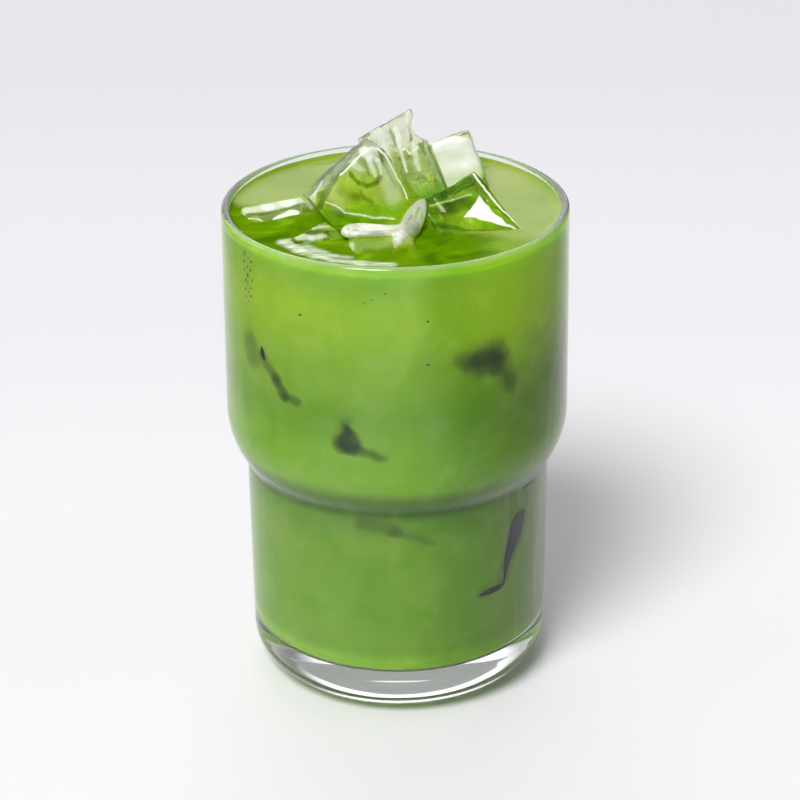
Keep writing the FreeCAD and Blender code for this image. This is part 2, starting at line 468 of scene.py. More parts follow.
def ice_material(name, tint, frost_and_glint_groups, shade_stroke_groups=(), cloud=1.0, least=0.0, most=None, white=(0.90, 0.93, 0.88),
                 haze=None):
    m = bpy.data.materials.new(name)
    nt, out = nodes_of(m)
    t = sm(nt)
    b = t.new("ShaderNodeBsdfPrincipled")
    t.link(b.outputs[0], out.inputs[0])
    p = co_mm(t)
    b.inputs["IOR"].default_value = 1.31
    patch = t.noise(p, 0.13, 3.0, 0.6)
    cloudy = t.smooth(patch, 0.46 if least else 0.50, 0.72 if least else 0.80, least, most or max(0.28 * cloud, least))
    wob = t.new("ShaderNodeTexNoise")
    wob.inputs["Scale"].default_value = 0.32
    wob.inputs["Detail"].default_value = 2.0
    t.link(p, wob.inputs["Vector"])
    pw = t.vmath("ADD", p, t.scale(t.vmath("SUBTRACT", wob.outputs["Color"], (0.5, 0.5, 0.5)), 1.1))
    frost_and_glint = cloudy
    mark = None
    # painted highlights: the white strokes, laid over the real cloudiness of the ice
    if frost_and_glint_groups:
        mark = strokes(t, pw, frost_and_glint_groups)
        frost_and_glint = t.math("SUBTRACT", 1.0, t.math("MULTIPLY", t.math("SUBTRACT", 1.0, mark),
                                               t.math("SUBTRACT", 1.0, cloudy)))
    # the green of the drink shows in the ice near its surface and fades upwards
    z = split(t, p)[2]
    zn = t.math("MULTIPLY_ADD", z, 1.0 / 30.0, -110.0 / 30.0)
    zn = t.math("ADD", zn, t.math("MULTIPLY_ADD", patch, 0.24, -0.12))
    base = t.ramp(zn, [((h - 110.0) / 30.0, c) for h, c in tint])
    # painted shade: dark green strokes
    if shade_stroke_groups:
        base = t.mix(strokes(t, pw, shade_stroke_groups), base, (0.055, 0.140, 0.004))
    if haze is not None:
        base = t.mix(cloudy, base, haze)
    t.link(t.mix(mark if haze is not None and mark is not None else frost_and_glint, base, white), b.inputs["Base Color"])
    t.link(t.math("SUBTRACT", 1.0, frost_and_glint), b.inputs["Transmission Weight"])
    t.link(t.math("MULTIPLY", frost_and_glint, 0.22), b.inputs["Roughness"])
    wide = t.noise(p, 0.16, 2.0)
    fine = t.noise(p, 0.7, 2.0)
    h = t.math("ADD", wide, t.math("MULTIPLY", fine, 0.15))
    t.link(t.bump(h, 0.25, 0.0008), b.inputs["Normal"])
    return m


def sunken_material(name, colour, deep):
    """Near-black ice: painted shade standing in for how ice under the drink looks dark through the glass."""
    m = bpy.data.materials.new(name)
    nt, out = nodes_of(m)
    t = sm(nt)
    b = t.new("ShaderNodeBsdfPrincipled")
    t.link(b.outputs[0], out.inputs[0])
    p = co_mm(t)
    n = t.noise(p, 0.5, 3.0, 0.6)
    t.link(t.ramp(n, [(0.3, deep), (0.7, colour)]), b.inputs["Base Color"])
    b.inputs["Roughness"].default_value = 0.35
    b.inputs["Specular IOR Level"].default_value = 0.1
    return m


BODY_GAIN = 1.0
SURFACE_GAIN = 1.0
M_GLASS = glass_material()
M_BODY = drink_body_material()
M_SURF = drink_surface_material()
M_HOLLOW = drink_hollow_material()
TINT_LOW = [(116.0, (0.66, 0.92, 0.030)), (122.5, (0.76, 0.97, 0.050)), (127.5, (0.84, 0.98, 0.200)),
            (131.0, (0.91, 0.975, 0.520)), (136.0, (0.95, 0.980, 0.800))]
TINT_HIGH = [(116.0, (0.76, 0.92, 0.140)), (121.0, (0.86, 0.96, 0.400)), (126.0, (0.92, 0.97, 0.600)),
             (130.5, (0.96, 0.980, 0.800)), (136.0, (0.90, 0.945, 0.760))]
TINT_RIGHT = [(116.0, (0.64, 0.90, 0.020)), (121.0, (0.70, 0.92, 0.040)), (125.0, (0.64, 0.88, 0.080)),
              (128.0, (0.78, 0.91, 0.340))]
TINT_FRONT = [(113.0, (0.58, 0.90, 0.008)), (119.0, (0.62, 0.92, 0.010)), (120.5, (0.76, 0.94, 0.120))]
TINT_LEFT = [(113.0, (0.62, 0.90, 0.020)), (119.0, (0.70, 0.94, 0.060)), (120.5, (0.80, 0.94, 0.240))]
CENTRE_FRONT, CENTRE_LEFT, CENTRE_EDGE = (0.22, -0.95, 0.24), (-0.62, 0.06, 0.78), (-0.79, -0.50, 0.36)
RIGHT_TOP, PEAK_FRONT, BACK_FRONT = (0.03, -0.63, 0.77), (0.03, -0.93, 0.37), (-0.06, -0.90, 0.43)
LEFT_TOP, FRONT_LEFT = (0.08, -0.17, 0.98), (0.27, -0.84, 0.48)


# white strokes on each piece's facets: mostly painted highlights, glints of light on edges and facets, with broad
# frosty patches on ice_back
FROST_AND_GLINTS = {
    "ice_centre": [
        (CENTRE_FRONT, chain([(-16.0, -10.0, 123.9), (-14.4, -9.9, 123.0), (-12.8, -9.7, 122.2), (-11.7, -9.8, 120.9),
                              (-7.1, -9.0, 119.8), (-3.6, -8.4, 119.1), (-0.3, -7.8, 118.6)], 0.02, 0.16, 0.30, 0.85)
         + chain([(-12.6, -7.4, 129.4), (-9.9, -6.4, 131.9), (-7.6, -5.2, 133.9), (-4.9, -4.6, 135.2)], 0.02, 0.14, 0.30, 0.9)
         + chain([(-4.2, -4.4, 135.0), (-2.1, -4.4, 133.1), (-0.5, -4.9, 130.1), (1.1, -5.3, 126.8), (2.9, -6.0, 122.9)],
                 0.16, 0.05, 0.28, 0.95)
         + chain([(-7.0, -4.7, 134.4), (-5.9, -5.4, 132.8), (-4.8, -6.2, 128.7)], 0.80, 0.0, 0.9, 0.72)
         + chain([(-5.0, -4.7, 134.5), (-4.0, -5.2, 132.2), (-3.3, -5.6, 129.0)], 0.50, 0.0, 0.7, 0.66)
         + chain([(-9.4, -6.3, 131.6), (-7.2, -6.2, 129.8)], 0.5, 0.0, 1.0, 0.5)
         + chain([(-1.9, -5.0, 129.8), (-0.6, -6.0, 123.6)], 0.1, 0.5, 3.4, 0.50)
         + chain([(-14.8, -8.6, 127.0), (-13.0, -9.4, 122.8)], 0.1, 0.3, 3.2, 0.24)),
        (CENTRE_LEFT, chain([(-17.9, -0.6, 125.5), (-18.8, -4.4, 124.8)], 0.5, 0.9, 1.2, 0.70)),
        (CENTRE_EDGE, chain([(-19.2, -5.4, 124.0), (-19.6, -7.6, 119.8)], 1.0, 1.3, 1.4, 0.60)),
    ],
    "ice_peak": [
        (PEAK_FRONT, chain([(-3.8, 10.8, 133.6), (-2.4, 9.9, 130.2), (-1.0, 9.0, 126.0)], 0.60, 0.0, 1.0, 0.66)
         + chain([(0.2, 11.3, 134.0), (1.2, 9.8, 130.0), (2.8, 8.2, 124.2)], 0.34, 0.04, 0.6, 0.74)
         + chain([(2.9, 12.8, 136.8), (3.0, 11.4, 132.6)], 0.34, 0.0, 0.6, 0.6)
         + chain([(4.0, 10.0, 130.2), (5.8, 8.2, 124.8)], 0.50, 0.0, 1.0, 0.55)
         + chain([(-5.4, 11.0, 133.2), (-4.6, 10.2, 131.0)], 0.40, 0.0, 0.7, 0.5)),
    ],
    "ice_back": [
        (BACK_FRONT, [((8.6, 13.0, 125.6), (16.2, 15.5, 126.0), 3.1, 3.0, 2.6, 0.72),
                      ((11.5, 12.0, 121.4), (17.6, 14.5, 122.2), 2.4, 2.2, 2.4, 0.62),
                      ((8.6, 15.9, 127.6), (14.4, 16.2, 128.6), 0.6, 0.8, 1.2, 0.80)]),
    ],
    "ice_right": [
        (RIGHT_TOP, [((19.66, -10.26, 121.5), (26.2, -13.3, 118.8), 2.1, 0.05, 0.26, 0.97),
                     ((19.66, -10.26, 121.5), (15.9, -11.5, 120.6), 2.1, 0.10, 0.26, 0.97),
                     ((19.66, -10.26, 121.5), (19.4, -7.2, 124.0), 2.1, 0.10, 0.26, 0.97),
                     ((26.0, -13.1, 118.9), (30.2, -15.2, 117.9), 0.26, 0.10, 0.35, 0.8)]
         + chain([(18.3, -2.6, 127.8), (20.6, -5.2, 125.5), (22.8, -7.8, 123.3), (26.2, -10.9, 120.5), (29.4, -13.8, 118.4)],
                 0.18, 0.10, 0.26, 0.92)
         + chain([(19.7, -2.0, 128.2), (22.0, -4.7, 125.9), (24.4, -7.5, 123.4), (27.6, -10.6, 120.4)],
                 0.12, 0.10, 0.26, 0.80)
         + chain([(8.0, -9.6, 122.6), (13.4, -8.1, 123.5), (17.6, -6.9, 124.2)], 0.0, 0.10, 0.45, 0.42)),
    ],
    "ice_front": [
        ((0.0, -0.9, 0.4), [((-10.6, -25.6, 117.8), (-10.2, -24.6, 119.2), 0.5, 0.3, 1.0, 0.6)]),
    ],
    "ice_front_left": [
        (FRONT_LEFT, chain([(-22.2, -21.0, 119.8), (-19.2, -20.4, 119.2), (-15.8, -20.0, 119.4)], 0.60, 0.2, 0.7, 0.7)
         + chain([(-20.8, -21.6, 117.8), (-17.0, -20.8, 118.3)], 0.30, 0.10, 0.5, 0.8)
         + chain([(-18.8, -18.6, 121.2), (-15.0, -16.4, 120.7)], 0.40, 0.05, 0.7, 0.6)),
    ],
    "ice_left": [
        (LEFT_TOP, chain([(-35.4, -3.2, 118.6), (-30.0, -0.6, 119.2), (-25.5, 2.2, 119.4), (-21.0, 4.8, 119.5)],
                         0.7, 1.7, 1.4, 0.66)
         + [((-28.2, -5.9, 118.1), (-24.0, -2.5, 118.4), 0.3, 1.3, 0.6, 0.90)]
         + chain([(-34.6, -5.8, 118.0), (-32.0, -6.4, 118.0), (-29.6, -8.4, 117.8)], 0.10, 0.20, 0.4, 0.6)),
    ],
}
# dark green strokes on each piece's facets: painted shade along edges and facets
DARK_STROKE_SHADE = {
    "ice_centre": [
        (CENTRE_LEFT, chain([(-19.6, -3.4, 124.2), (-17.6, 0.6, 125.8), (-14.8, 3.0, 127.8), (-8.0, 7.6, 132.8)],
                            1.0, 1.6, 0.8, 0.9)),
        (CENTRE_FRONT, chain([(-10.4, -7.1, 129.8), (-10.0, -7.3, 129.1), (-8.4, -7.4, 127.4), (-6.3, -7.1, 126.5),
                              (-4.2, -6.4, 127.3), (-3.6, -6.0, 128.2)], 0.22, 0.45, 0.40, 0.85)
         + chain([(-17.4, -9.8, 122.6), (-15.4, -8.6, 126.6), (-12.6, -7.0, 130.6), (-8.6, -5.2, 134.2)], 0.40, 0.45, 0.45, 0.9)
         + chain([(-4.9, -4.6, 134.0), (-3.0, -4.9, 132.0), (-1.4, -5.3, 129.2), (0.2, -5.8, 125.9)], 0.12, 0.18, 0.35, 0.7)
         + chain([(-13.4, -8.6, 126.2), (-9.6, -8.4, 124.6), (-5.0, -8.0, 122.6)], 0.10, 0.20, 1.3, 0.35)
         + chain([(-15.2, -10.2, 122.6), (-12.6, -10.0, 120.6), (-9.0, -9.8, 118.9), (-2.0, -8.6, 117.9)],
                 0.30, 0.55, 0.8, 0.55)),
    ],
    "ice_peak": [
        (PEAK_FRONT, chain([(-7.4, 11.0, 131.8), (-4.4, 11.8, 133.9), (-1.2, 12.4, 135.6), (2.8, 13.2, 137.6)],
                           0.25, 0.30, 0.35, 0.75)
         + chain([(-0.9, 11.3, 133.4), (0.2, 10.4, 131.0), (1.9, 8.9, 127.0)], 0.20, 0.22, 0.35, 0.8)
         + chain([(-4.9, 10.4, 131.0), (-3.6, 9.4, 128.2)], 0.35, 0.25, 0.45, 0.6)
         + chain([(3.0, 11.9, 134.8), (3.7, 10.6, 131.6), (3.6, 9.6, 129.1)], 0.24, 0.20, 0.35, 0.8)),
    ],
    "ice_back": [
        (BACK_FRONT, [((16.0, 17.0, 130.6), (19.6, 17.2, 129.2), 0.35, 0.45, 0.7, 0.55),
                      ((17.8, 16.4, 128.6), (19.4, 15.4, 126.4), 0.25, 0.35, 0.6, 0.45)]),
    ],
    "ice_right": [
        (RIGHT_TOP, chain([(6.6, -8.9, 123.1), (11.4, -7.0, 124.5), (17.4, -4.4, 126.6)], 0.65, 1.05, 0.5, 0.85)
         + chain([(8.2, -11.2, 121.2), (12.6, -9.9, 122.2), (16.2, -8.6, 122.8)], 0.9, 1.0, 1.4, 0.55)
         + chain([(19.2, -2.2, 128.0), (21.4, -4.9, 125.7), (23.8, -7.6, 123.3), (27.0, -10.8, 120.4)], 0.20, 0.24, 0.3, 0.8)
         + chain([(21.0, -1.6, 128.4), (25.4, -6.6, 123.8), (30.4, -12.2, 118.6)], 0.25, 0.45, 0.35, 0.7)
         + chain([(7.2, -11.6, 118.2), (17.2, -14.4, 118.0), (26.0, -15.0, 117.8)], 0.30, 0.30, 0.6, 0.7)),
    ],
    "ice_front": [
        ((0.0, -0.9, 0.4), [((-7.0, -26.0, 118.0), (2.0, -26.4, 118.0), 0.25, 0.35, 0.8, 0.45)]),
    ],
    "ice_front_left": [
        (FRONT_LEFT, chain([(-15.4, -19.2, 120.2), (-15.8, -21.0, 117.8)], 0.30, 0.45, 0.5, 0.8)
         + chain([(-20.4, -20.9, 118.8), (-17.6, -20.2, 118.6)], 0.12, 0.16, 0.3, 0.7)),
    ],
    "ice_left": [
        (LEFT_TOP, chain([(-36.2, -4.4, 118.1), (-31.2, -4.2, 118.5), (-26.6, -1.4, 118.8), (-21.6, 2.0, 119.1)],
                         0.22, 0.26, 0.5, 0.80)),
    ],
}
TINTS = {"ice_centre": TINT_LOW, "ice_peak": TINT_HIGH, "ice_back": TINT_HIGH, "ice_right": TINT_RIGHT,
         "ice_front": TINT_FRONT, "ice_front_left": TINT_LEFT, "ice_left": TINT_LEFT}
CLOUD = {"ice_centre": 0.25, "ice_peak": 0.6, "ice_back": 2.0, "ice_right": 0.15}
# green haze in the pieces the drink has soaked: least and most of it, and its colour
HAZE = {"ice_front": (0.34, 0.60, (0.290, 0.600, 0.002)), "ice_right": (0.12, 0.36, (0.400, 0.640, 0.012)),
        "ice_centre": (0.12, 0.34, (0.560, 0.820, 0.020)), "ice_peak": (0.10, 0.42, (0.620, 0.760, 0.280)),
        "ice_front_left": (0.10, 0.40, (0.520, 0.740, 0.080)), "ice_left": (0.20, 0.45, (0.420, 0.660, 0.020))}
M_ICE = {}
for n in ICE_NODES:
    if n in HAZE:
        lo, hi, tone = HAZE[n]
        M_ICE[n] = ice_material(n + "_look", TINTS[n], FROST_AND_GLINTS[n], DARK_STROKE_SHADE[n], 1.0, lo, hi, haze=tone)
    else:
        M_ICE[n] = ice_material(n + "_look", TINTS[n], FROST_AND_GLINTS[n], DARK_STROKE_SHADE[n], CLOUD.get(n, 0.5))
# painted highlight: the melt ridge is mostly frosted white, standing in for the light it catches
M_RIDGE_GLINT = ice_material("melt_ridge_glint_look", [(113.0, (0.60, 0.88, 0.06)), (118.0, (0.78, 0.94, 0.36)), (121.0, (0.90, 0.96, 0.70))],
                        [],
                        [((0.0, -0.8, 0.6), chain([(5.4, -12.4, 123.0), (4.6, -14.0, 121.2)], 0.16, 0.05, 0.35, 0.8)
                          + chain([(3.6, -14.6, 122.0), (2.6, -17.4, 120.8)], 0.20, 0.05, 0.45, 0.7)
                          + chain([(6.4, -11.8, 121.6), (5.8, -13.6, 119.4)], 0.20, 0.10, 0.40, 0.7)
                          + chain([(-9.6, -18.6, 120.4), (-4.6, -18.6, 120.4)], 0.50, 0.30, 0.9, 0.5))],
                        1.0, 0.40, 0.88, (1.0, 1.0, 0.93))
M_DARK = sunken_material("sunken_ice_look", (0.012, 0.022, 0.016), (0.004, 0.008, 0.007))
M_SOFTDARK = sunken_material("sunken_ice_soft_look", (0.045, 0.085, 0.040), (0.022, 0.048, 0.026))

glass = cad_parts["glass"]
for s in glass.material_slots:
    s.material = M_GLASS


# ------------------------------------------------------------- ice above the drink
def bool_cut(obj, cutter):
    mod = obj.modifiers.new("cut", "BOOLEAN")
    mod.operation = "DIFFERENCE"
    mod.object = cutter
    mod.solver = "MANIFOLD"
    apply_modifiers(obj)


# yaw, pitch, roll and middle of each piece, as in the CAD
ICE_POSE = {
    "ice_centre": ((-156.9, 35.2, 107.4), (-5.4, -1.5, 118.8), (21.0, 26.0, 14.0)),
    "ice_peak": ((-166.4, 27.3, 114.4), (4.1, 13.4, 122.2), (15.0, 27.0, 12.0)),
    "ice_back": ((-174.6, 18.7, 116.8), (12.4, 19.2, 116.1), (20.0, 22.0, 15.0)),
    "ice_right": ((-151.2, 19.6, 145.3), (18.9, -8.7, 113.1), (16.5, 26.0, 15.0)),
    "ice_front": ((10.0, -2.0, 8.0), (-3.0, -22.0, 113.2), (16.0, 11.0, 13.0)),
    "ice_front_left": ((28.0, -18.0, -30.0), (-17.5, -16.5, 112.5), (11.0, 12.0, 15.0)),
    "ice_left": ((24.5, 0.0, 11.0), (-27.1, -2.9, 111.4), (16.0, 14.0, 14.0)),
}
# how much melting has waved and grooved each piece (mm), and along which of its axes grooves run
ICE_WEAR = {
    "ice_centre": (0.55, 0.10, 1), "ice_peak": (0.50, 0.32, 1), "ice_back": (0.60, 0.15, 0),
    "ice_right": (0.40, 0.30, 1), "ice_front": (0.50, 0.0, 0), "ice_front_left": (0.60, 0.15, 2),
    "ice_left": (0.14, 0.04, 0),
}


# notches melted right across a piece: a point on the notch's axis, the axis, and its radius (mm)
ICE_NOTCH = {
    "ice_peak": [((7.6, 12.0, 134.9), (0.03, -0.93, 0.37), 3.6), ((-4.6, 11.4, 136.9), (0.03, -0.93, 0.37), 2.2)],
}


def local_axes(name):
    yaw, pitch, roll = (math.radians(a) for a in ICE_POSE[name][0])
    return Matrix.Rotation(yaw, 3, "Z") @ Matrix.Rotation(pitch, 3, "Y") @ Matrix.Rotation(roll, 3, "X")


def worn_ice(name, seed, voxel, wear):
    """The CAD piece, remeshed evenly and worn inwards by melting."""
    if name == "ice_left":
        wear = 0.08
    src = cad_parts[name]
    bm = bmesh.new()
    bm.from_mesh(src.data)
    bmesh.ops.remove_doubles(bm, verts=bm.verts[:], dist=1e-6)
    obj = mesh_object("looks_" + name, bm, smooth=False)
    obj.data.materials.clear()
    mod = obj.modifiers.new("even", "REMESH")
    mod.mode = "VOXEL"
    mod.voxel_size = voxel * MM * 1.0
    mod.adaptivity = 0.0
    sm_mod = obj.modifiers.new("soft", "SMOOTH")
    sm_mod.factor = 0.5
    sm_mod.iterations = 4
    apply_modifiers(obj)
    me = obj.data
    rng = random.Random(seed)
    off = Vector((rng.uniform(-50, 50), rng.uniform(-50, 50), rng.uniform(-50, 50)))
    depth, groove, axis = ICE_WEAR[name]
    rot = local_axes(name).transposed()
    mid = Vector(ICE_POSE[name][1])
    bm = bmesh.new()
    bm.from_mesh(me)
    bm.normal_update()
    moves = []
    for v in bm.verts:
        p = v.co / MM
        q = rot @ (p - mid)
        g = Vector(tuple(c * (0.07 if i == axis else 0.55) for i, c in enumerate(q)))
        d = -wear + depth * noise.noise(q * 0.13 + off) + 0.25 * depth * noise.noise(q * 0.4 + off)
        d += groove * noise.noise(g + off)
        # scooped dents, as where a neighbour has melted free
        s = noise.noise(q * 0.085 - off)
        d -= depth * 1.3 * max(s - 0.18, 0.0)
        mv = v.normal * min(d, -0.02)
        for at, axis_dir, radius in ICE_NOTCH.get(name, ()):
            ax = Vector(axis_dir).normalized()
            w = p + mv - Vector(at)
            w -= ax * w.dot(ax)
            if w.length < radius:
                mv = mv + w.normalized() * (radius - w.length)
        moves.append(mv * MM)
    for v, mv in zip(bm.verts, moves):
        v.co += mv
    bm.normal_update()
    bm.to_mesh(me)
    bm.free()
    me.shade_smooth()
    me.materials.append(M_ICE[name])
    return obj


def tree_of(me):
    me.calc_loop_triangles()
    return BVHTree.FromPolygons([v.co.copy() for v in me.vertices],
                                [tuple(t.vertices) for t in me.loop_triangles])


def deep_inside(bvh, p, margin):
    hit = bvh.find_nearest(p)
    return hit[0] is not None and (p - hit[0]).dot(hit[1]) < 0 and hit[3] > margin


def add_flaws(obj, name, seed, bubbles, cracks):
    """Air bubbles and thin wavy cracks inside the ice, as closed hollows in its mesh."""
    bvh = tree_of(obj.data)
    rng = random.Random(seed)
    rot = local_axes(name)
    mid = Vector(ICE_POSE[name][1])
    size = Vector(ICE_POSE[name][2])
    bm = bmesh.new()
    bm.from_mesh(obj.data)

    def put(centre, axes, radii, wave, sub):
        new = bmesh.ops.create_icosphere(bm, subdivisions=sub, radius=1.0)["verts"]
        place = []
        for v in new:
            c = v.co.copy()
            q = Vector((c.x * radii[0], c.y * radii[1], c.z * radii[2]))
            q.z += wave * noise.noise(Vector((q.x, q.y, 0)) * 0.35 + centre)
            place.append((centre + axes @ q) * MM)
        if all(deep_inside(bvh, p, 0.25 * MM) for p in place):
            for v, p in zip(new, place):
                v.co = p
            faces = {f for v in new for f in v.link_faces}
            bmesh.ops.reverse_faces(bm, faces=list(faces))
            for f in faces:
                f.smooth = True
            return True
        bmesh.ops.delete(bm, geom=new, context="VERTS")
        return False

    done = tries = 0
    while done < bubbles and tries < bubbles * 12:
        tries += 1
        c = mid + rot @ Vector(tuple(rng.uniform(-0.42, 0.42) * s for s in size))
        r = rng.uniform(0.10, 0.34)
        done += put(c, rot, (r, r, r * rng.uniform(1.0, 1.9)), 0.0, 2)
    done = tries = 0
    while done < cracks and tries < cracks * 30:
        tries += 1
        c = mid + rot @ Vector(tuple(rng.uniform(-0.30, 0.30) * s for s in size))
        ax = Euler((rng.uniform(0, 6.28), rng.uniform(0, 6.28), rng.uniform(0, 6.28))).to_matrix()
        done += put(c, ax, (rng.uniform(1.6, 3.4), rng.uniform(1.2, 2.6), 0.05), 0.9, 4)
    bm.to_mesh(obj.data)
    bm.free()


ice_objects = {}
shells = {}
for i, name in enumerate(ICE_NODES):
    ice_objects[name] = worn_ice(name, 11 + i, 0.35, 0.30)
    shells[name] = ice_objects[name].data.copy()
    add_flaws(ice_objects[name], name, 41 + i, 10, 3 if name in ("ice_centre", "ice_peak", "ice_back") else 1)


# ------------------------------------------------------------- the drink
def inner_profile():
    """(radius, height) down the inside of the glass, from the drink's surface to the axis."""
    pts = []
    rim_in = RIM_R - RIM_WALL
    top_in = BODY_R - BODY_WALL
    n = 40
    for i in range(n + 1):
        z = LEVEL + (SHOULDER_Z - LEVEL) * i / n
        t = (HEIGHT - z) / (HEIGHT - SHOULDER_Z)
        pts.append((rim_in + (top_in - rim_in) * t, z))
    c = BODY_R - SHOULDER_ARC
    rad = SHOULDER_ARC - BODY_WALL
    a_end = math.acos((LOWER_IN_R - c) / rad)
    step_z = SHOULDER_Z - rad * math.sin(a_end)
    # fillet between the shoulder arc (tangent known) and the lower wall, by a short blend
    arc_pts = [(c + rad * math.cos(a_end * i / 30), SHOULDER_Z - rad * math.sin(a_end * i / 30))
               for i in range(1, 31)]
    lower = [(LOWER_IN_R + (FLOOR_IN_R - LOWER_IN_R) * (step_z - z) / (step_z - FLOOR_Z), z)
             for z in [step_z - (step_z - FLOOR_Z - FLOOR_CORNER) * i / 34 for i in range(0, 35)]]
    # quadratic blend over 3 mm each side of the corner
    corner = Vector((LOWER_IN_R, step_z))
    reach = 1.15
    keep_up = [p for p in arc_pts if (Vector(p) - corner).length > reach and p[1] > step_z]
    keep_down = [p for p in lower if (Vector(p) - corner).length > reach]
    a0 = Vector(keep_up[-1])
    b0 = Vector(keep_down[0])
    blend = []
    for i in range(1, 8):
        s = i / 8.0
        q = a0 * (1 - s) ** 2 + corner * 2 * s * (1 - s) + b0 * s ** 2
        blend.append((q.x, q.y))
    pts += keep_up + blend + keep_down
    # rounded floor corner
    r0 = pts[-1][0] - FLOOR_CORNER
    for i in range(1, 15):
        a = math.pi / 2 * i / 14
        pts.append((r0 + FLOOR_CORNER * math.cos(a), FLOOR_Z + FLOOR_CORNER * (1 - math.sin(a))))
    for i in range(1, 9):
        pts.append((r0 * (1 - i / 8.0), FLOOR_Z))
    return pts


def height_at(x, y, bvh):
    """Rise of the drink's surface above its level, in mm: it climbs the glass and the ice a little."""
    r = math.hypot(x, y)
    rise = 0.95 * math.exp(-max(RIM_R - RIM_WALL - r, 0.0) / 0.9)
    p = Vector((x, y, LEVEL)) * MM
    hit = bvh.find_nearest(p)
    if hit[0] is not None:
        d = hit[3] / MM
        inside = (p - hit[0]).dot(hit[1]) < 0
        rise += 0.32 if inside else 0.32 * math.exp(-d / 0.8)
    q = Vector((x, y, 0.0))
    rise += 0.10 * noise.noise(q * 0.12) + 0.03 * noise.noise(q * 0.4)
    return rise


def build_drink():
    seg = 320
    prof = inner_profile()
    grown_prof = []
    for i, (r, z) in enumerate(prof):
        # push each point along the profile's outward normal, into the glass
        a = Vector(prof[max(i - 1, 0)])
        c = Vector(prof[min(i + 1, len(prof) - 1)])
        tan = (c - a).normalized()
        n = Vector((-tan.y, tan.x))
        if i == 0:
            grown_prof.append((r + INTO_WALL, z))
        elif i == len(prof) - 1:
            grown_prof.append((0.0, z - INTO_WALL))
        else:
            grown_prof.append((r + n.x * INTO_WALL, z + n.y * INTO_WALL))
    prof = grown_prof
    # one joined tree of the ice, for the rise round it
    verts, tris = [], []
    for me in shells.values():
        base = len(verts)
        verts += [v.co.copy() for v in me.vertices]
        me.calc_loop_triangles()
        tris += [tuple(base + i for i in t.vertices) for t in me.loop_triangles]
    bvh = BVHTree.FromPolygons(verts, tris)
    bm = bmesh.new()
    rings = []
    top_r = prof[0][0]
    # top surface: rings that crowd towards the wall
    radii = []
    n_top = 90
    for i in range(1, n_top + 1):
        s = i / n_top
        radii.append(top_r * (1 - (1 - s) ** 1.25))
    radii[-1] = top_r
    centre = bm.verts.new((0, 0, (LEVEL + height_at(0, 0, bvh)) * MM))
    for r in radii:
        ring = []
        for k in range(seg):
            a = 2 * math.pi * k / seg
            x, y = r * math.cos(a), r * math.sin(a)
            ring.append(bm.verts.new((x * MM, y * MM, (LEVEL + height_at(x, y, bvh)) * MM)))
        rings.append(ring)
    n_surface = len(rings)
    for r, z in prof[1:-1]:
        rings.append([bm.verts.new((r * math.cos(2 * math.pi * k / seg) * MM,
                                    r * math.sin(2 * math.pi * k / seg) * MM, z * MM)) for k in range(seg)])
    bottom = bm.verts.new((0, 0, prof[-1][1] * MM))
    for k in range(seg):
        f = bm.faces.new((centre, rings[0][k], rings[0][(k + 1) % seg]))
        f.material_index = 1
    for j in range(len(rings) - 1):
        a, b = rings[j], rings[j + 1]
        for k in range(seg):
            k2 = (k + 1) % seg
            f = bm.faces.new((a[k], b[k], b[k2], a[k2]))
            f.material_index = 1 if j < n_surface - 1 else 0
    last = rings[-1]
    for k in range(seg):
        bm.faces.new((last[k], bottom, last[(k + 1) % seg]))
    bmesh.ops.recalc_face_normals(bm, faces=bm.faces[:])
    obj = mesh_object("matcha", bm)
    obj.data.materials.append(M_BODY)
    obj.data.materials.append(M_SURF)
    obj.data.materials.append(M_HOLLOW)
    # hollows where the ice stands, a little inside the ice so that no gap shows
    bm = bmesh.new()
    for me in shells.values():
        bm.from_mesh(me)
    bm.normal_update()
    for v in bm.verts:
        v.co -= v.normal * INTO_ICE * MM
    for f in bm.faces:
        f.material_index = 2
    cutter = mesh_object("tmp_cutter", bm)
    cutter.data.materials.clear()
    for m in (M_BODY, M_SURF, M_HOLLOW):
        cutter.data.materials.append(m)
    bool_cut(obj, cutter)
    bpy.data.objects.remove(cutter)
    obj.data.shade_smooth()
    return obj


drink = build_drink()


# ------------------------------------------------------------- smaller things
def curve_through(rows, per):
    """Catmull-Rom through rows of numbers."""
    out = []
    n = len(rows)
    for i in range(n - 1):
        p0, p1, p2, p3 = rows[max(i - 1, 0)], rows[i], rows[i + 1], rows[min(i + 2, n - 1)]
        for k in range(per):
            u = k / per
            out.append(tuple(0.5 * (2 * b + (c - a) * u + (2 * a - 5 * b + 4 * c - d) * u * u
                                    + (3 * b - a - 3 * c + d) * u ** 3)
                             for a, b, c, d in zip(p0, p1, p2, p3)))
    out.append(tuple(rows[-1]))
    return out


WALL = sorted((z, r) for r, z in inner_profile() if r > 28.6)


def wall_radius(z):
    for (z0, r0), (z1, r1) in zip(WALL[:-1], WALL[1:]):
        if z0 <= z <= z1:
            return r0 + (r1 - r0) * (z - z0) / max(z1 - z0, 1e-9)
    return WALL[-1][1] if z > WALL[-1][0] else WALL[0][1]


